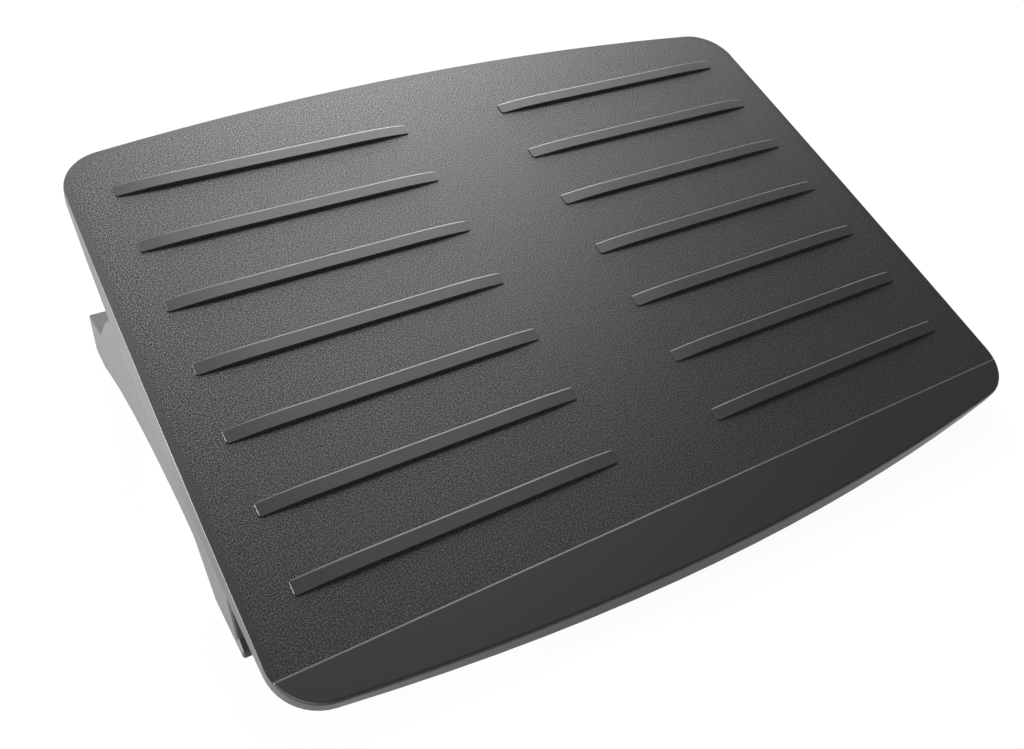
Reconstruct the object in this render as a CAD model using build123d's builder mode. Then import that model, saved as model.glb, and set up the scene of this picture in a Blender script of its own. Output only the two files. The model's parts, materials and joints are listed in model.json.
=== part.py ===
"""Rocking footrest: a ribbed footplate that tilts between two cheeks of a standing base."""

import os
from math import cos, radians, sin, sqrt, tan

from build123d import *

# Footplate, in its own plane: x to the right, y to the rear, z up from the tread
plate_width = 450.0
plate_front = 189.2
plate_rear = 157.8
front_arch = 15.5
rear_arch = 15.1
side_bow = 0.5
corner_radius = 26.5
rim_depth = 7.2
rim_lean = -0.5
rim_bow = 3.1
rim_wall = 3.0
skin = 3.0
edge_round = 1.6

# Ribs of the tread, counted by the pitch of their rear edges
rib_pitch = 39.85
rib_forward = 0.85
rib_rows = 7
rib_length = 170.0
rib_gap = 64.0
rib_width = 7.6
rib_height = 2.2
rib_end_height = 0.6
rib_taper = 30.0
rib_corner = 1.2
rib_bevel = 0.9
rib_bevel_drop = 0.4
rib_root = 0.6

# Smooth strip along the front, a step above the rest of the tread
strip_line = 158.0
strip_step = 0.7
strip_bevel = 0.9
strip_bevel_drop = 0.4

# Stiffening ribs under the tread
under_rib = 2.2
cross_rows = (-140.0, -62.0, -16.0, 61.0, 108.0)
cross_reach = 203.0
long_rib_pitch = 75.0
long_rib_count = 5

# Pivot axis, seen from the tread, and the tilt at which the footplate rests
rest_tilt = 24.0
pivot_back = 22.5
pivot_drop = 43.0
pivot_height = 61.0

# Cheeks of the base: places along the base are counted from the pivot axis
cheek_depth = 18.0
cheek_wall = 3.2
cheek_toe_in = 0.4
cheek_bevel = 0.8
sole_height = 2.0
hump_rise = 31.5
hump_clear = 1.4
hump_round = 24.0
shoulder_reach = 45.0
shoulder_round = 90.0
deck_start = 99.0
deck_end = 135.0
deck_high = 40.0
deck_low = 34.5
deck_round = 5.0
heel_reach = 147.0
heel_sole = 25.0
toe_reach = 144.0
toe_sole = 41.0
toe_lip = 6.0
toe_lip_height = 8.0
toe_height = 4.5
corner_round = 1.8
arch_front = 83.0
arch_front_height = 26.0
arch_middle = 10.0
arch_middle_height = 27.5
arch_round = 8.0
web_pitch = 40.0
web_count = 5
web = 2.4
web_recess = 0.5

# Rails across the base
rail_reach = 112.0
rail_width = 32.0
rail_low = 8.0
rail_high = 32.0
rail_wall = 3.0
rail_round = 5.0
rail_end = 4.0
rail_rib = 2.4
rail_rib_places = (-120.0, -40.0, 40.0, 120.0)
rail_screw_spread = 18.0
rail_screw_height = 20.0
rail_boss_radius = 5.0

# Screws
screw_radius = 2.0
screw_clearance = 0.2
screw_head_radius = 4.0
screw_head = 2.6
rail_screw_bite = 10.0
bracket_screw_bite = 4.2

# Pivot
pin_radius = 5.0
pin_clearance = 0.05
pin_head_radius = 8.0
pin_head = 2.5
pin_chamfer = 0.8
pin_end_gap = 0.6
bush_wall = 2.0
bush_length = 12.0
bush_flange_radius = 11.0
bush_flange = 2.0
pivot_boss_radius = 13.0
washer = 1.5
washer_bore_clearance = 0.2
side_play = 0.05

# Pivot brackets under the footplate
bracket_length = 64.0
bracket_flange = 4.0
bracket_flange_depth = 40.0
bracket_ear = 6.0
bracket_hub_length = 15.5
bracket_gusset = 4.0
bracket_clear = 0.8
bracket_screw_rows = 44.0
bracket_screw_inset = 14.0
bracket_screw_spread = 18.0
bracket_boss_radius = 4.5
bracket_round = 2.0

# Rubber feet and stop buffers
foot_width = 11.0
foot_margin = 4.0
foot_seat = 1.5
foot_round = 3.0
foot_bevel = 0.6
stop_place = 150.0
stop_radius = 8.0
stop_dome = 14.0
stop_gap = 0.3
stop_neck_radius = 3.0
stop_barb_radius = 4.2
stop_barb = 3.5
stop_pad_radius = 10.0

# Places that follow from the sizes above
tilt = radians(rest_tilt)
rim_out = rim_lean + rim_bow
rim_top_reach = plate_front * cos(tilt) + strip_step * sin(tilt)
rim_foot_reach = (plate_front + rim_out) * cos(tilt) - rim_depth * sin(tilt)
front_reach = max(rim_top_reach, rim_foot_reach) + pivot_back * cos(tilt) + pivot_drop * sin(tilt)
pivot_y = (front_reach - heel_reach) / 2
tread_y = pivot_y - pivot_back * cos(tilt) - pivot_drop * sin(tilt)
tread_z = pivot_height - pivot_back * sin(tilt) + pivot_drop * cos(tilt)
tread = Plane(origin=(0, tread_y, tread_z), x_dir=(1, 0, 0), z_dir=(0, -sin(tilt), cos(tilt)))
tread_up = Axis(origin=tread.origin, direction=tread.z_dir)
pivot_side = Plane(origin=(0, pivot_y, pivot_height), x_dir=tread.y_dir, z_dir=(1, 0, 0))
pivot_front = Plane(origin=(0, pivot_y, pivot_height), x_dir=(1, 0, 0), z_dir=-tread.y_dir)
base_side = Plane(origin=(0, pivot_y, 0), x_dir=(0, 1, 0), z_dir=(1, 0, 0))
cheek_outside = plate_width / 2
cheek_inside = cheek_outside - cheek_depth
bush_radius = pin_radius + pin_clearance + bush_wall
bush_face = cheek_inside - bush_flange
washer_face = bush_face - side_play - washer
bracket_stand = rim_depth - skin + bracket_clear
bracket_top = pivot_drop - skin - bracket_stand
rail_screw_places = [(side * rail_reach + shift, rail_screw_height)
                     for side in (-1, 1)
                     for shift in (-rail_screw_spread / 2, rail_screw_spread / 2)]
stop_line = (rail_reach - (pivot_drop - rim_depth) * sin(tilt)) / cos(tilt)
stop_line_height = pivot_height - stop_line * sin(tilt) + (pivot_drop - rim_depth) * cos(tilt)
stop_centre = stop_line_height - (stop_dome + stop_gap) / cos(tilt)
foot_x = cheek_inside + cheek_depth / 2
foot_places = {
    -1: (toe_sole - 2 * foot_margin, toe_sole / 2 - toe_reach),
    1: (heel_sole - 2 * foot_margin, heel_reach - heel_sole / 2),
}
sides = ((-1, "left"), (1, "right"))
ends = ((-1, "front"), (1, "rear"))

os.makedirs("parts", exist_ok=True)


def keep(part, name):
    """Label a finished piece and write it."""
    part.label = name
    export_step(part, f"parts/{name}.step")


def plate_outline(grow, bow):
    """Outline of the footplate, grown all round and bowed out along each edge."""
    half = plate_width / 2 + grow
    rear = plate_rear + grow
    front = -plate_front - grow
    rear_corner = rear - rear_arch
    front_corner = front + front_arch
    waist = (rear_corner + front_corner) / 2
    with BuildSketch() as outline:
        with BuildLine():
            ThreePointArc((-half, rear_corner), (0, rear + bow), (half, rear_corner))
            ThreePointArc((half, rear_corner), (half + side_bow + bow, waist), (half, front_corner))
            ThreePointArc((half, front_corner), (0, front - bow), (-half, front_corner))
            ThreePointArc((-half, front_corner), (-half - side_bow - bow, waist), (-half, rear_corner))
        make_face()
        fillet(outline.vertices(), corner_radius + grow)
    return outline.sketch


# One tread rib, its rear edge on the x axis
with BuildPart() as tread_rib:
    rib_end = rib_length / 2
    with BuildSketch(Plane.XZ):
        with BuildLine():
            level = Line((rib_taper - rib_end, rib_height), (rib_end - rib_taper, rib_height))
            TangentArc(level @ 1, (rib_end, rib_end_height), tangent=level % 1)
            TangentArc(level @ 0, (-rib_end, rib_end_height), tangent=-(level % 0))
            Polyline((-rib_end, rib_end_height), (-rib_end, -rib_root), (rib_end, -rib_root),
                     (rib_end, rib_end_height))
        make_face()
    extrude(amount=rib_width)
    chamfer(tread_rib.edges().filter_by(Axis.Z), rib_corner)
    rib_top = tread_rib.faces().sort_by(Axis.Z)[-1]
    chamfer(rib_top.edges().sort_by(Axis.Y)[-1], rib_bevel, rib_bevel_drop, reference=rib_top)
    rib_ends = tread_rib.faces().filter_by(Axis.X)
    chamfer([face.edges().sort_by(Axis.Z)[-1] for face in rib_ends], rib_bevel_drop)

# Footplate: a shallow tray with a leaning rim, ribbed above and below
with BuildPart() as footplate:
    with BuildSketch(tread.offset(-rim_depth)):
        add(plate_outline(rim_lean, rim_bow))
    with BuildSketch(tread.offset(strip_step)):
        add(plate_outline(0, 0))
    loft(ruled=True)
    fillet(footplate.faces().sort_by(tread_up)[-1].edges(), edge_round)
    with BuildSketch(tread):
        with Locations((0, -strip_line)):
            Rectangle(2 * plate_width, 2 * plate_front, align=(Align.CENTER, Align.MIN))
    extrude(amount=2 * strip_step, mode=Mode.SUBTRACT)
    strip_face = footplate.faces().filter_by(tread).sort_by(tread_up)[-1]
    chamfer(strip_face.edges().filter_by(GeomType.LINE), strip_bevel, strip_bevel_drop, reference=strip_face)
    with BuildSketch(tread.offset(-rim_depth)):
        add(plate_outline(rim_lean - rim_wall, rim_bow))
    with BuildSketch(tread.offset(-skin)):
        add(plate_outline(-rim_wall, 0))
    loft(ruled=True, mode=Mode.SUBTRACT)
    with BuildSketch(tread.offset(-skin)):
        for row in cross_rows:
            with Locations((0, row)):
                Rectangle(2 * cross_reach, under_rib)
        with GridLocations(long_rib_pitch, 0, long_rib_count, 1):
            Rectangle(under_rib, 2 * plate_front)
        with Locations(*[(x * stop_place, pivot_back + y * stop_line) for x in (-1, 1) for y in (-1, 1)]):
            Circle(stop_pad_radius)
        add(plate_outline(-rim_wall / 2, 0), mode=Mode.INTERSECT)
    extrude(amount=skin - rim_depth)
    bracket_screw_x = washer_face - bracket_screw_inset - bracket_screw_spread / 2
    with BuildSketch(tread.offset(-skin)):
        for side, _ in sides:
            with Locations((side * bracket_screw_x, pivot_back)):
                with GridLocations(bracket_screw_spread, bracket_screw_rows, 2, 2):
                    Circle(bracket_boss_radius)
    extrude(amount=-bracket_stand)
    with BuildSketch(tread.offset(-skin - bracket_stand)):
        for side, _ in sides:
            with Locations((side * bracket_screw_x, pivot_back)):
                with GridLocations(bracket_screw_spread, bracket_screw_rows, 2, 2):
                    Circle(screw_radius)
    extrude(amount=bracket_screw_bite, mode=Mode.SUBTRACT)
    rib_x = (rib_gap + rib_length) / 2
    rib_row_places = [(row - (rib_rows - 1) / 2) * rib_pitch - rib_forward for row in range(rib_rows)]
    with Locations(*[tread.location * Pos(x, y, 0) for x in (-rib_x, rib_x) for y in rib_row_places]):
        add(tread_rib.part)
keep(footplate.part, "footplate")


def cheek_outline(inset):
    """Side view of a cheek: foot, deck, hump, deck and heel over a long arch.

    The hump's shoulders lie along the rim's lower edge at the two ends of the travel.
    """
    shoulder_rise = (pivot_drop - rim_depth - hump_clear) / cos(tilt)
    hump_half = (shoulder_rise - hump_rise) / tan(tilt)
    hump_top = pivot_height + hump_rise
    shoulder_height = pivot_height + shoulder_rise - shoulder_reach * tan(tilt)
    corners = (
        (-arch_front, arch_front_height, arch_round),
        (-toe_reach + toe_sole, sole_height, corner_round),
        (-toe_reach, sole_height, corner_round),
        (-toe_reach, sole_height + toe_height, corner_round),
        (-toe_reach + toe_lip, sole_height + toe_lip_height, corner_round),
        (-deck_end, deck_low, corner_round),
        (-deck_start, deck_high, deck_round),
        (-shoulder_reach, shoulder_height, shoulder_round),
        (-hump_half, hump_top, hump_round),
        (hump_half, hump_top, hump_round),
        (shoulder_reach, shoulder_height, shoulder_round),
        (deck_start, deck_high, deck_round),
        (deck_end, deck_low, corner_round),
        (heel_reach, sole_height, corner_round),
        (heel_reach - heel_sole, sole_height, corner_round),
    )
    with BuildSketch() as outline:
        with BuildLine():
            path = Polyline(*[(along, height) for along, height, _ in corners])
            ThreePointArc(path @ 1, (-arch_middle, arch_middle_height), path @ 0)
        make_face()
        for along, height, radius in corners:
            fillet(outline.vertices().sort_by_distance((along, height, 0))[0], radius)
        if inset:
            offset(amount=-inset, kind=Kind.INTERSECTION, mode=Mode.REPLACE)
    return outline.sketch


for side, hand in sides:
    inner = base_side.offset(side * cheek_inside)
    outer = Plane(origin=(side * cheek_outside, pivot_y, 0), x_dir=(0, 1, 0),
                  z_dir=(side, tan(radians(cheek_toe_in)), 0))

    # Cheek: a moulded shell, open towards the middle of the base
    with BuildPart() as cheek:
        with BuildSketch(inner):
            add(cheek_outline(0))
        extrude(amount=side * (cheek_depth + cheek_wall))
        split(bisect_by=outer, keep=Keep.BOTTOM)
        chamfer(cheek.faces().sort_by(Axis.X)[-1 if side > 0 else 0].edges(), cheek_bevel)
        with BuildSketch(inner):
            add(cheek_outline(cheek_wall))
        extrude(amount=side * (cheek_depth - cheek_wall), mode=Mode.SUBTRACT)
        with BuildSketch(inner.offset(side * web_recess)):
            with Locations((0, pivot_height)):
                with GridLocations(web_pitch, 0, web_count, 1):
                    Rectangle(web, 2 * pivot_height)
            add(cheek_outline(cheek_wall / 2), mode=Mode.INTERSECT)
        extrude(amount=side * (cheek_depth - cheek_wall / 2 - web_recess))
        with BuildSketch(inner):
            with Locations((0, pivot_height)):
                Circle(pivot_boss_radius)
            with Locations(*rail_screw_places):
                Circle(rail_boss_radius)
        extrude(amount=side * (cheek_depth - cheek_wall / 2))
        with BuildSketch(inner):
            with Locations((0, pivot_height)):
                Circle(bush_radius)
        extrude(amount=side * bush_length, mode=Mode.SUBTRACT)
        with BuildSketch(inner):
            with Locations(*rail_screw_places):
                Circle(screw_radius)
        extrude(amount=side * rail_screw_bite, mode=Mode.SUBTRACT)
        with BuildSketch(Plane.XY.offset(sole_height)):
            for foot_length, foot_y in foot_places.values():
                with Locations((side * foot_x, pivot_y + foot_y)):
                    RectangleRounded(foot_width, foot_length, foot_round)
        extrude(amount=foot_seat, mode=Mode.SUBTRACT)
    keep(cheek.part, f"{hand}_cheek")

    # Bush: a flanged sleeve pressed into the cheek
    with BuildPart() as bush:
        with BuildSketch(base_side.offset(side * bush_face)):
            with Locations((0, pivot_height)):
                Circle(bush_radius)
        extrude(amount=side * (bush_flange + bush_length))
        with BuildSketch(base_side.offset(side * bush_face)):
            with Locations((0, pivot_height)):
                Circle(bush_flange_radius)
        extrude(amount=side * bush_flange)
        with BuildSketch(base_side.offset(side * bush_face)):
            with Locations((0, pivot_height)):
                Circle(pin_radius + pin_clearance)
        extrude(amount=side * (bush_flange + bush_length), mode=Mode.SUBTRACT)
    keep(bush.part, f"{hand}_pivot_bush")

    # Thrust washer between the bracket's ear and the bush
    with BuildPart() as thrust_washer:
        with BuildSketch(pivot_side.offset(side * washer_face)):
            Circle(bush_flange_radius)
            Circle(pin_radius + washer_bore_clearance, mode=Mode.SUBTRACT)
        extrude(amount=side * washer)
    keep(thrust_washer.part, f"{hand}_pivot_washer")

    # Pin: headed, pressed into the bracket's hub, turning in the bush
    hub_face = washer_face - bracket_hub_length
    pin_tip = cheek_inside + bush_length - pin_end_gap
    with BuildPart() as pin:
        with BuildSketch(pivot_side.offset(side * hub_face)):
            Circle(pin_radius)
        extrude(amount=side * (pin_tip - hub_face))
        chamfer(pin.edges().sort_by(Axis.X)[-1 if side > 0 else 0], pin_chamfer)
        with BuildSketch(pivot_side.offset(side * hub_face)):
            Circle(pin_head_radius)
        extrude(amount=-side * pin_head)
        chamfer(pin.edges().sort_by(Axis.X)[0 if side > 0 else -1], pin_chamfer)
    keep(pin.part, f"{hand}_pivot_pin")

    # Bracket: flange under the tread, ear down to the pivot, hub and gusset
    with BuildPart() as bracket:
        with BuildSketch(pivot_side.offset(side * washer_face)):
            with Locations((0, bracket_top - bracket_flange / 2)):
                Rectangle(bracket_length, bracket_flange)
            Circle(pivot_boss_radius)
            make_hull()
        extrude(amount=-side * bracket_ear)
        with BuildSketch(pivot_side.offset(side * washer_face)):
            with Locations((0, bracket_top - bracket_flange / 2)):
                Rectangle(bracket_length, bracket_flange)
        extrude(amount=-side * bracket_flange_depth)
        fillet([edge for edge in bracket.edges().filter_by(tread_up)
                if abs(edge.center().X) < washer_face - bracket_ear], 2 * bracket_round)
        with BuildSketch(pivot_side.offset(side * washer_face)):
            Circle(pivot_boss_radius)
        extrude(amount=-side * bracket_hub_length)
        with BuildSketch(pivot_front):
            with BuildLine():
                Polyline((side * (washer_face - bracket_ear), 0),
                         (side * (washer_face - bracket_ear), bracket_top - bracket_flange),
                         (side * (washer_face - bracket_flange_depth + bracket_round),
                          bracket_top - bracket_flange),
                         (side * hub_face, pivot_boss_radius - bracket_round),
                         (side * hub_face, 0), close=True)
            make_face()
        extrude(amount=bracket_gusset / 2, both=True)
        with BuildSketch(pivot_side.offset(side * washer_face)):
            Circle(pin_radius)
        extrude(amount=-side * bracket_hub_length, mode=Mode.SUBTRACT)
        with BuildSketch(tread.offset(-skin - bracket_stand)):
            with Locations((side * bracket_screw_x, pivot_back)):
                with GridLocations(bracket_screw_spread, bracket_screw_rows, 2, 2):
                    Circle(screw_radius + screw_clearance)
        extrude(amount=-bracket_flange, mode=Mode.SUBTRACT)
    keep(bracket.part, f"{hand}_pivot_bracket")

    # Screws that hold the bracket to the footplate
    with BuildPart() as bracket_screws:
        with BuildSketch(tread.offset(-skin - bracket_stand - bracket_flange)):
            with Locations((side * bracket_screw_x, pivot_back)):
                with GridLocations(bracket_screw_spread, bracket_screw_rows, 2, 2):
                    Circle(screw_radius)
        extrude(amount=bracket_flange + bracket_screw_bite)
        with BuildSketch(tread.offset(-skin - bracket_stand - bracket_flange)):
            with Locations((side * bracket_screw_x, pivot_back)):
                with GridLocations(bracket_screw_spread, bracket_screw_rows, 2, 2):
                    RegularPolygon(screw_head_radius, 6)
        extrude(amount=-screw_head)
    keep(bracket_screws.part, f"{hand}_bracket_screws")

for end, end_name in ends:
    rail_y = pivot_y + end * rail_reach
    rail_section = Plane(origin=(0, rail_y, 0), x_dir=(0, 1, 0), z_dir=(1, 0, 0))
    rail_middle = (rail_low + rail_high - rail_wall) / 2

    # Rail: a channel open below, closed at its ends and stiffened between
    with BuildPart() as rail:
        with BuildSketch(rail_section) as channel:
            with Locations((0, (rail_low + rail_high) / 2)):
                Rectangle(rail_width, rail_high - rail_low)
            fillet(channel.vertices().group_by(Axis.Y)[-1], rail_round)
        extrude(amount=cheek_inside, both=True)
        with BuildSketch(rail_section):
            with Locations((0, rail_middle)):
                Rectangle(rail_width - 2 * rail_wall, rail_high - rail_wall - rail_low)
        extrude(amount=cheek_inside - rail_end, both=True, mode=Mode.SUBTRACT)
        for place in rail_rib_places:
            with BuildSketch(rail_section.offset(place)):
                with Locations((0, rail_middle + rail_wall / 2)):
                    Rectangle(rail_width - rail_wall, rail_high - rail_wall - rail_low)
            extrude(amount=rail_rib / 2, both=True)
        for side, _ in sides:
            with BuildSketch(base_side.offset(side * cheek_inside)):
                with Locations(*[spot for spot in rail_screw_places if spot[0] * end > 0]):
                    Circle(screw_radius + screw_clearance)
            extrude(amount=-side * rail_end, mode=Mode.SUBTRACT)
        with BuildSketch(Plane.XY.offset(rail_high)):
            with Locations((-stop_place, rail_y), (stop_place, rail_y)):
                Circle(stop_neck_radius)
        extrude(amount=-rail_wall, mode=Mode.SUBTRACT)
    keep(rail.part, f"{end_name}_rail")

    # Screws that hold the rail between the cheeks
    with BuildPart() as rail_screws:
        for side, _ in sides:
            head_face = base_side.offset(side * (cheek_inside - rail_end))
            with BuildSketch(head_face):
                with Locations(*[spot for spot in rail_screw_places if spot[0] * end > 0]):
                    Circle(screw_radius)
            extrude(amount=side * (rail_end + rail_screw_bite))
            with BuildSketch(head_face):
                with Locations(*[spot for spot in rail_screw_places if spot[0] * end > 0]):
                    RegularPolygon(screw_head_radius, 6)
            extrude(amount=-side * screw_head)
    keep(rail_screws.part, f"{end_name}_rail_screws")

    for side, hand in sides:
        stop_x = side * stop_place
        stop_section = Plane(origin=(stop_x, rail_y, 0), x_dir=(1, 0, 0), z_dir=(0, -1, 0))
        shoulder = stop_centre + sqrt(stop_dome ** 2 - stop_radius ** 2)

        # Stop buffer: domed head, neck through the rail's top, barb below it
        with BuildPart() as stop:
            with BuildSketch(stop_section):
                with BuildLine():
                    Polyline((0, rail_high - rail_wall - stop_barb),
                             (stop_neck_radius, rail_high - rail_wall - stop_barb),
                             (stop_barb_radius, rail_high - rail_wall),
                             (stop_neck_radius, rail_high - rail_wall),
                             (stop_neck_radius, rail_high), (stop_radius, rail_high),
                             (stop_radius, shoulder))
                    RadiusArc((stop_radius, shoulder), (0, stop_centre + stop_dome), -stop_dome)
                    Line((0, stop_centre + stop_dome), (0, rail_high - rail_wall - stop_barb))
                make_face()
            revolve(axis=Axis((stop_x, rail_y, 0), (0, 0, 1)))
        keep(stop.part, f"{end_name}_{hand}_stop")

        # Foot: a rubber pad seated in the cheek's sole
        foot_length, foot_y = foot_places[end]
        with BuildPart() as foot:
            with BuildSketch(Plane.XY):
                with Locations((side * foot_x, pivot_y + foot_y)):
                    RectangleRounded(foot_width, foot_length, foot_round)
            extrude(amount=sole_height + foot_seat)
            chamfer(foot.edges().group_by(Axis.Z)[0], foot_bevel)
        keep(foot.part, f"{end_name}_{hand}_foot")
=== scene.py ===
"""Dress the rocking footrest: finishes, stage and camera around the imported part."""

import json
import math

import bpy
from bpy.props import FloatProperty, FloatVectorProperty, PointerProperty
from bpy.types import Operator, Panel, PropertyGroup
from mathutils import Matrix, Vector

bl_info = {
    "name": "Rocking footrest",
    "version": (1, 0, 0),
    "blender": (4, 5, 0),
    "location": "View3D > Sidebar > Footrest",
    "description": "Dresses the rocking footrest and sets its stage",
    "category": "Object",
}

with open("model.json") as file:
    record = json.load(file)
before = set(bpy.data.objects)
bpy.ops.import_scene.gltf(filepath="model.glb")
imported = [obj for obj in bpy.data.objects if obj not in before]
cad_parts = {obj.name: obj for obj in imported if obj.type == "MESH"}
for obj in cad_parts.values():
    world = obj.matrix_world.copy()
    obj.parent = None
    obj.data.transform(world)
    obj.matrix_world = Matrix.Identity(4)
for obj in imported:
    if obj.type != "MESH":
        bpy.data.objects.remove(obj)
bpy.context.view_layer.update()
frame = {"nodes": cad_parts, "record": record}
TREAD = next(mount for mount in frame["record"]["mounts"] if mount["name"] == "tread")
TREAD_ORIGIN = Vector(TREAD["pos_m"])
TREAD_TILT = math.asin(-TREAD["axis"][1])
# The Mix node's colour sockets share their names with others, so they go by number
MIX_FACTOR, MIX_FIRST, MIX_SECOND, MIX_RESULT = 0, 6, 7, 2
# Each lamp's place and width in metres; the stage's settings hold the powers
LAMPS = {
    "key": ((0.52, 0.75, 1.7), 1.3),
    "rear": ((0.6, 1.5, 0.8), 0.9),
    "side": ((-1.6, 0.4, 1.25), 0.6),
    "low": ((-1.7, 0.55, 0.24), 0.45),
    "front": ((-1.2, -1.3, 0.4), 0.7),
    "right": ((1.5, 0.98, 0.6), 0.7),
}


class FootrestFinish(PropertyGroup):
    """Colours of the pieces, and the grain and edges of the tread's face."""

    tread_colour: FloatVectorProperty(
        name="Tread colour", description="Black of the footplate", subtype="COLOR", size=3,
        default=(0.015, 0.015, 0.0155), min=0, max=1)
    base_colour: FloatVectorProperty(
        name="Base colour", description="Black of the cheeks and rails", subtype="COLOR", size=3,
        default=(0.027, 0.027, 0.0285), min=0, max=1)
    bracket_colour: FloatVectorProperty(
        name="Bracket colour", description="Black of the pivot brackets", subtype="COLOR", size=3,
        default=(0.05, 0.05, 0.054), min=0, max=1)
    acetal_colour: FloatVectorProperty(
        name="Acetal colour", description="White of the bushes and washers", subtype="COLOR", size=3,
        default=(0.72, 0.71, 0.67), min=0, max=1)
    steel_colour: FloatVectorProperty(
        name="Steel colour", description="Zinc plating of the pins and screws", subtype="COLOR", size=3,
        default=(0.62, 0.62, 0.63), min=0, max=1)
    rubber_colour: FloatVectorProperty(
        name="Rubber colour", description="Black of the feet and buffers", subtype="COLOR", size=3,
        default=(0.03, 0.03, 0.03), min=0, max=1)
    grain_size: FloatProperty(
        name="Grain size", description="Size of the tread's moulded grain", subtype="DISTANCE",
        unit="LENGTH", default=0.00065, min=0.0003, max=0.01)
    grain_depth: FloatProperty(
        name="Grain depth", description="Depth of the tread's moulded grain", subtype="DISTANCE",
        unit="LENGTH", default=0.0002, min=0, max=0.002)
    grain_margin: FloatProperty(
        name="Grain margin", description="Border at the footplate's edge in which the grain fades",
        subtype="DISTANCE", unit="LENGTH", default=0.006, min=0.001, max=0.02)
    plate_half: FloatProperty(
        name="Half width", description="Half the footplate's width", subtype="DISTANCE", unit="LENGTH",
        default=0.225)
    plate_rear: FloatProperty(
        name="Rear edge", description="Rear edge's middle, from the tread's middle row", subtype="DISTANCE",
        unit="LENGTH", default=0.1578)
    rear_radius: FloatProperty(
        name="Rear bow", description="Radius of the rear edge", subtype="DISTANCE", unit="LENGTH",
        default=1.684)
    corner_radius: FloatProperty(
        name="Corner", description="Radius of the footplate's corners", subtype="DISTANCE", unit="LENGTH",
        default=0.0265)
    strip_line: FloatProperty(
        name="Strip line", description="Where the smooth front strip begins, from the tread's middle row",
        subtype="DISTANCE", unit="LENGTH", default=-0.158)
    strip_blend: FloatProperty(
        name="Strip blend", description="Distance over which the grain ends at the strip",
        subtype="DISTANCE", unit="LENGTH", default=0.0004, min=0)
    face_depth: FloatProperty(
        name="Face depth", description="Depth below the tread's plane where the grain ends",
        subtype="DISTANCE", unit="LENGTH", default=0.0009, min=0)
    face_rise: FloatProperty(
        name="Face rise", description="Height above the tread's plane where the grain ends",
        subtype="DISTANCE", unit="LENGTH", default=0.0004, min=0)
    frost_size: FloatProperty(
        name="Frost size", description="Size of the fine frosting under the grain", subtype="DISTANCE",
        unit="LENGTH", default=0.0004, min=0.0001)
    frost_depth: FloatProperty(
        name="Frost depth", description="Depth of the fine frosting under the grain", subtype="DISTANCE",
        unit="LENGTH", default=0.00001, min=0)
    grain_coat: FloatProperty(
        name="Grain coat", description="How strongly the grain's tops and pits differ in gloss",
        default=7.0, min=0)
    tread_coat: FloatProperty(
        name="Tread coat", description="Gloss of the smooth ribs, strip and rim", default=0.6, min=0, max=1)


class FootrestStage(PropertyGroup):
    """Camera, lamps and floor."""

    camera_offset: FloatVectorProperty(
        name="Camera place", description="From the middle of the tread", subtype="XYZ", size=3,
        default=(-0.27673, -0.41506, 0.2658))
    camera_aim: FloatVectorProperty(
        name="Camera aim", description="Direction of view", subtype="XYZ", size=3,
        default=(0.42876, 0.70076, -0.57017))
    camera_lens: FloatProperty(
        name="Lens", description="Focal length", unit="CAMERA", default=35.13, min=10, max=300)
    floor_size: FloatProperty(
        name="Floor", description="Width of the floor", subtype="DISTANCE", unit="LENGTH", default=8.0)
    floor_glow: FloatProperty(
        name="Floor glow", description="How white the floor is to the camera", default=0.95, min=0, max=1)
    key_power: FloatProperty(
        name="Key lamp", description="Power of the lamp above", default=33.0, min=0)
    rear_power: FloatProperty(
        name="Rear lamp", description="Power of the lamp behind", default=40.0, min=0)
    side_power: FloatProperty(
        name="Side lamp", description="Power of the lamp at the left", default=10.0, min=0)
    low_power: FloatProperty(
        name="Low lamp", description="Power of the low lamp at the left", default=95.0, min=0)
    front_power: FloatProperty(
        name="Front lamp", description="Power of the lamp in front", default=16.0, min=0)
    right_power: FloatProperty(
        name="Right lamp", description="Power of the lamp at the right", default=4.0, min=0)
    sky_strength: FloatProperty(name="Sky", description="Strength of the even light", default=0.18, min=0)


class Value:
    """A shader value that takes part in Python arithmetic."""

    def __init__(self, sheet, socket):
        self.sheet = sheet
        self.socket = socket

    def _math(self, operation, first, second):
        return self.sheet.add("ShaderNodeMath", {"operation": operation}, {0: first, 1: second})

    def __add__(self, other):
        return self._math("ADD", self, other)

    __radd__ = __add__

    def __sub__(self, other):
        return self._math("SUBTRACT", self, other)

    def __rsub__(self, other):
        return self._math("SUBTRACT", other, self)

    def __mul__(self, other):
        return self._math("MULTIPLY", self, other)

    __rmul__ = __mul__

    def above(self, least):
        """The value, but never less than this."""
        return self._math("MAXIMUM", self, least)

    def root(self):
        """The square root."""
        return self._math("SQRT", self, 0.0)

    def size(self):
        """The value without its sign."""
        return self._math("ABSOLUTE", self, 0.0)

    def step(self, start, end):
        """Rise smoothly from 0 at start to 1 at end."""
        return self.sheet.add("ShaderNodeMapRange", {"interpolation_type": "SMOOTHSTEP"},
                              {"Value": self, "From Min": start, "From Max": end})


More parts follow.
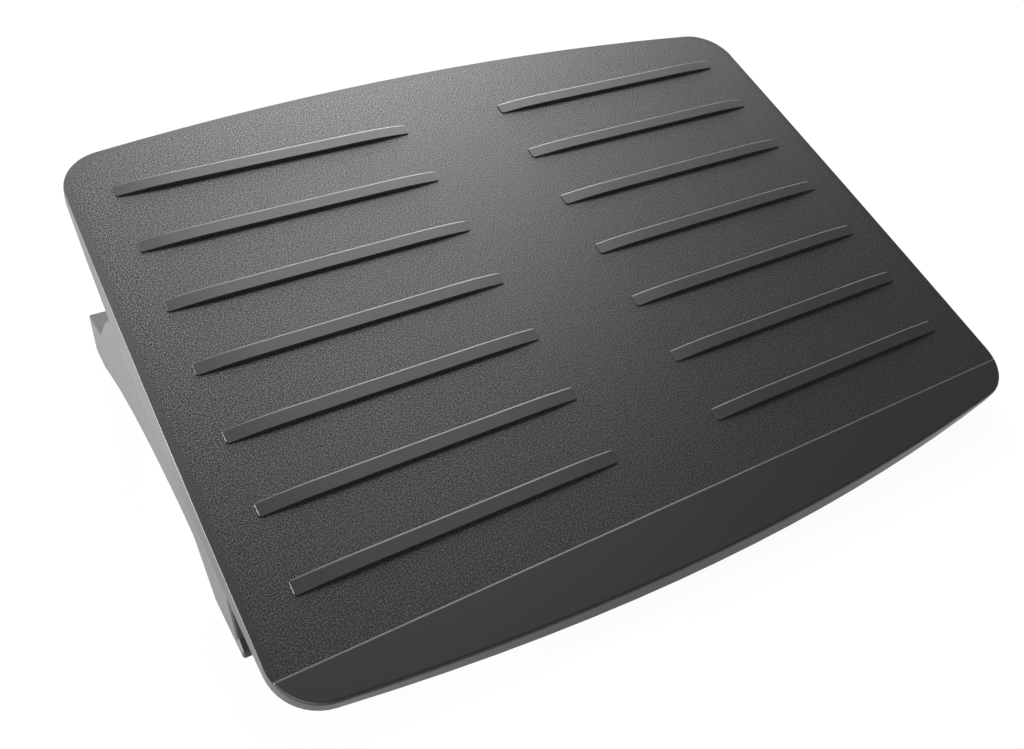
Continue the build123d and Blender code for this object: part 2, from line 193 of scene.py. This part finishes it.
class Sheet:
    """One material and the means to add nodes to it."""

    def __init__(self, name):
        self.material = bpy.data.materials.new(name)
        self.material.use_nodes = True
        self.tree = self.material.node_tree
        self.tree.nodes.clear()

    def add(self, kind, settings, inputs, output=0):
        """Add a node, set it up, feed its sockets and give one of its outputs."""
        node = self.tree.nodes.new(kind)
        for key, setting in settings.items():
            setattr(node, key, setting)
        for key, given in inputs.items():
            if isinstance(given, Value):
                self.tree.links.new(given.socket, node.inputs[key])
            else:
                node.inputs[key].default_value = given
        return Value(self, node.outputs[output]) if node.outputs else None

    def place(self):
        """The piece's own coordinates, in metres."""
        return self.add("ShaderNodeTexCoord", {}, {}, "Object")

    def tread_place(self):
        """Coordinates on the tread: x to the right, y to the rear, z out of it."""
        cos, sin = math.cos(TREAD_TILT), math.sin(TREAD_TILT)
        x, y, z = TREAD_ORIGIN
        shift = (-x, -y * cos - z * sin, y * sin - z * cos)
        return self.add("ShaderNodeMapping", {"vector_type": "POINT"},
                        {"Vector": self.place(), "Location": shift, "Rotation": (-TREAD_TILT, 0, 0)})

    def axis(self, vector, name):
        """One axis of a vector."""
        return self.add("ShaderNodeSeparateXYZ", {}, {"Vector": vector}, name)

    def noise(self, vector, size, detail=2.0, roughness=0.5):
        """Soft noise whose features are about this size in metres."""
        inputs = {"Vector": vector, "Scale": 1 / size, "Detail": detail, "Roughness": roughness}
        return self.add("ShaderNodeTexNoise", {}, inputs, "Fac")

    def stretched(self, vector, scale):
        """Coordinates scaled along each axis, so that noise runs in streaks."""
        return self.add("ShaderNodeMapping", {"vector_type": "POINT"}, {"Vector": vector, "Scale": scale})

    def tint(self, factor, low, high):
        """A colour between two colours."""
        return self.add("ShaderNodeMix", {"data_type": "RGBA"},
                        {MIX_FACTOR: factor, MIX_FIRST: (*low, 1.0), MIX_SECOND: (*high, 1.0)}, MIX_RESULT)

    def bump(self, height, depth, under=None):
        """Normals for a height from 0 to 1 of this depth in metres."""
        inputs = {"Height": height, "Distance": depth, "Strength": 1.0}
        if under is not None:
            inputs["Normal"] = under
        return self.add("ShaderNodeBump", {}, inputs)

    def surface(self, **inputs):
        """Finish the material with a principled shader."""
        named = {key.replace("_", " "): given for key, given in inputs.items()}
        shader = self.add("ShaderNodeBsdfPrincipled", {}, named)
        self.add("ShaderNodeOutputMaterial", {}, {"Surface": shader})
        return self.material


def shade(colour, amount):
    """A colour made lighter or darker."""
    return tuple(min(1.0, part * amount) for part in colour)


def edge_distance(sheet, spot, finish):
    """Distance inside the footplate's sides, rear edge and rear corners, in metres."""
    across = sheet.axis(spot, "X")
    from_bow = sheet.axis(spot, "Y") + (finish.rear_radius - finish.plate_rear)
    past_side = across.size() - (finish.plate_half - finish.corner_radius)
    past_rear = (across * across + from_bow * from_bow).root() - (finish.rear_radius - finish.corner_radius)
    side, rear = past_side.above(0.0), past_rear.above(0.0)
    return finish.corner_radius - (side * side + rear * rear).root()


def tread_plastic(finish):
    """Black moulding with a finely grained face, and smooth ribs, strip and rim."""
    sheet = Sheet("tread_plastic")
    spot = sheet.tread_place()
    along = sheet.axis(spot, "Y")
    height = sheet.axis(spot, "Z")
    face = height.step(-finish.face_depth, -finish.face_depth / 3)
    face = face * (1 - height.step(finish.face_rise / 4, finish.face_rise))
    face = face * along.step(finish.strip_line - finish.strip_blend, finish.strip_line + finish.strip_blend)
    face = face * edge_distance(sheet, spot, finish).step(0.0, finish.grain_margin)
    grain = sheet.noise(spot, finish.grain_size, 1.0, 0.6)
    speck = (grain - 0.5) * face
    frost = sheet.noise(spot, finish.frost_size, 1.0)
    under = sheet.bump(frost, finish.frost_depth)
    colour = sheet.tint(speck * 2.0 + 0.5, shade(finish.tread_colour, 0.8), shade(finish.tread_colour, 1.2))
    return sheet.surface(Base_Color=colour, Roughness=0.43 + frost * 0.04,
                         Coat_Weight=speck * finish.grain_coat + finish.tread_coat, Coat_Roughness=0.46,
                         Specular_IOR_Level=0.15,
                         Normal=sheet.bump(grain * face, finish.grain_depth, under))


def satin_plastic(finish):
    """Smooth black moulding with a faint frosting and uneven sheen."""
    sheet = Sheet("base_plastic")
    spot = sheet.place()
    frost = sheet.noise(spot, 0.0005, 2.0)
    cloud = sheet.noise(spot, 0.03, 3.0)
    colour = sheet.tint(cloud, shade(finish.base_colour, 0.85), shade(finish.base_colour, 1.2))
    return sheet.surface(Base_Color=colour, Roughness=0.58 + cloud * 0.1, Normal=sheet.bump(frost, 0.00003))


def filled_plastic(finish):
    """Black moulding with short glass fibres that show as pale flecks."""
    sheet = Sheet("bracket_plastic")
    spot = sheet.place()
    flecks = sheet.noise(sheet.stretched(spot, (0.2, 1.0, 1.0)), 0.0006, 2.0).step(0.55, 0.75)
    colour = sheet.tint(flecks, finish.bracket_colour, shade(finish.bracket_colour, 1.8))
    return sheet.surface(Base_Color=colour, Roughness=0.5 + flecks * 0.15, Normal=sheet.bump(flecks, 0.00003))


def acetal(finish):
    """Waxy white moulding."""
    sheet = Sheet("acetal")
    cloud = sheet.noise(sheet.place(), 0.004, 2.0)
    colour = sheet.tint(cloud, shade(finish.acetal_colour, 0.92), finish.acetal_colour)
    return sheet.surface(Base_Color=colour, Roughness=0.25 + cloud * 0.1)


def zinc_steel(finish):
    """Zinc-plated steel with a turned lay and dull patches."""
    sheet = Sheet("zinc_steel")
    spot = sheet.place()
    lines = sheet.noise(sheet.stretched(spot, (1.0, 0.08, 0.08)), 0.0003, 2.0)
    patches = sheet.noise(spot, 0.003, 3.0)
    colour = sheet.tint(patches, shade(finish.steel_colour, 0.75), finish.steel_colour)
    return sheet.surface(Base_Color=colour, Metallic=1.0, Roughness=0.24 + lines * 0.2,
                         Normal=sheet.bump(lines, 0.00001))


def moulded_rubber(finish):
    """Dull black rubber with a fine spark-eroded skin."""
    sheet = Sheet("moulded_rubber")
    spot = sheet.place()
    skin = sheet.noise(spot, 0.0006, 3.0)
    dust = sheet.noise(spot, 0.008, 3.0)
    colour = sheet.tint(dust, shade(finish.rubber_colour, 0.8), shade(finish.rubber_colour, 1.5))
    return sheet.surface(Base_Color=colour, Roughness=0.72 + dust * 0.15, Normal=sheet.bump(skin, 0.00008))


def white_floor(stage):
    """Pale floor that is white to the camera and keeps a little of the shadow."""
    sheet = Sheet("white_floor")
    paths = [sheet.add("ShaderNodeLightPath", {}, {}, name)
             for name in ("Is Camera Ray", "Is Glossy Ray", "Is Transmission Ray")]
    seen = paths[0] + paths[1] + paths[2]
    cloud = sheet.noise(sheet.place(), 0.4, 2.0)
    pale = sheet.tint(cloud, (0.8, 0.8, 0.8), (0.84, 0.84, 0.84))
    paint = sheet.add("ShaderNodeBsdfDiffuse", {}, {"Color": pale})
    glow = sheet.add("ShaderNodeEmission", {}, {"Color": (1, 1, 1, 1), "Strength": 1.0})
    mixed = sheet.add("ShaderNodeMixShader", {}, {0: seen * stage.floor_glow, 1: paint, 2: glow})
    sheet.add("ShaderNodeOutputMaterial", {}, {"Surface": mixed})
    return sheet.material


def dress(names, material):
    """Give CAD nodes one finish."""
    for name in names:
        slots = frame["nodes"][name].data.materials
        slots.clear()
        slots.append(material)


def named(*endings):
    """CAD nodes whose names end in one of these."""
    return [name for name in frame["nodes"] if name.endswith(endings)]


class FOOTREST_OT_footplate(Operator):
    """Give the footplate its grained face and smooth ribs"""

    bl_idname = "footrest.footplate"
    bl_label = "Footplate"

    def execute(self, context):
        dress(["footplate"], tread_plastic(context.scene.footrest_finish))
        return {"FINISHED"}


class FOOTREST_OT_base(Operator):
    """Give the cheeks and rails their satin black"""

    bl_idname = "footrest.base"
    bl_label = "Cheeks and rails"

    def execute(self, context):
        dress(named("_cheek", "_rail"), satin_plastic(context.scene.footrest_finish))
        return {"FINISHED"}


class FOOTREST_OT_pivot(Operator):
    """Give the pivot brackets, bushes, washers and pins their finishes"""

    bl_idname = "footrest.pivot"
    bl_label = "Pivot"

    def execute(self, context):
        finish = context.scene.footrest_finish
        dress(named("pivot_bracket"), filled_plastic(finish))
        dress(named("pivot_bush", "pivot_washer"), acetal(finish))
        dress(named("pivot_pin", "screws"), zinc_steel(finish))
        return {"FINISHED"}


class FOOTREST_OT_rubber(Operator):
    """Give the feet and stop buffers their rubber"""

    bl_idname = "footrest.rubber"
    bl_label = "Rubber"

    def execute(self, context):
        dress(named("_foot", "_stop"), moulded_rubber(context.scene.footrest_finish))
        return {"FINISHED"}


def add_lamp(name, place, size, power):
    """A soft square lamp that looks at the middle of the tread."""
    bpy.ops.object.light_add(type="AREA", location=place)
    lamp = bpy.context.object
    lamp.name = name
    lamp.data.size = size
    lamp.data.energy = power
    lamp.rotation_mode = "QUATERNION"
    lamp.rotation_quaternion = (TREAD_ORIGIN - Vector(place)).to_track_quat("-Z", "Y")


class FOOTREST_OT_stage(Operator):
    """Set the floor, lamps, sky and camera"""

    bl_idname = "footrest.stage"
    bl_label = "Stage"

    def execute(self, context):
        stage = context.scene.footrest_stage
        bpy.ops.object.select_all(action="DESELECT")
        bpy.ops.mesh.primitive_plane_add(size=stage.floor_size)
        floor = context.object
        floor.name = "floor"
        floor.data.materials.append(white_floor(stage))
        for name, (place, size) in LAMPS.items():
            add_lamp(f"{name}_lamp", place, size, getattr(stage, f"{name}_power"))
        sky = bpy.data.worlds.new("sky")
        sky.use_nodes = True
        light = sky.node_tree.nodes["Background"].inputs
        light["Strength"].default_value = stage.sky_strength
        light["Color"].default_value = (1, 1, 1, 1)
        context.scene.world = sky
        bpy.ops.object.camera_add(location=TREAD_ORIGIN + Vector(stage.camera_offset))
        camera = context.object
        camera.name = "camera"
        camera.data.lens = stage.camera_lens
        camera.rotation_mode = "QUATERNION"
        camera.rotation_quaternion = Vector(stage.camera_aim).to_track_quat("-Z", "Y")
        context.scene.camera = camera
        context.scene.view_settings.view_transform = "Standard"
        return {"FINISHED"}


class FOOTREST_PT_panel(Panel):
    """Sidebar panel with the footrest's finishes and steps"""

    bl_idname = "FOOTREST_PT_panel"
    bl_label = "Rocking footrest"
    bl_space_type = "VIEW_3D"
    bl_region_type = "UI"
    bl_category = "Footrest"

    def draw(self, context):
        for group in (context.scene.footrest_finish, context.scene.footrest_stage):
            for key in group.bl_rna.properties.keys():
                if key not in ("rna_type", "name"):
                    self.layout.prop(group, key)
        for step in STEPS:
            self.layout.operator(step.bl_idname)


STEPS = (FOOTREST_OT_footplate, FOOTREST_OT_base, FOOTREST_OT_pivot, FOOTREST_OT_rubber, FOOTREST_OT_stage)
CLASSES = (FootrestFinish, FootrestStage, *STEPS, FOOTREST_PT_panel)


def register():
    """Add the footrest's classes and settings."""
    for cls in CLASSES:
        bpy.utils.register_class(cls)
    bpy.types.Scene.footrest_finish = PointerProperty(type=FootrestFinish)
    bpy.types.Scene.footrest_stage = PointerProperty(type=FootrestStage)


def unregister():
    """Take the footrest's classes and settings away."""
    del bpy.types.Scene.footrest_stage
    del bpy.types.Scene.footrest_finish
    for cls in reversed(CLASSES):
        bpy.utils.unregister_class(cls)


def main():
    """Run every step in order."""
    register()
    bpy.ops.footrest.footplate()
    bpy.ops.footrest.base()
    bpy.ops.footrest.pivot()
    bpy.ops.footrest.rubber()
    bpy.ops.footrest.stage()


if __name__ == "__main__":
    main()
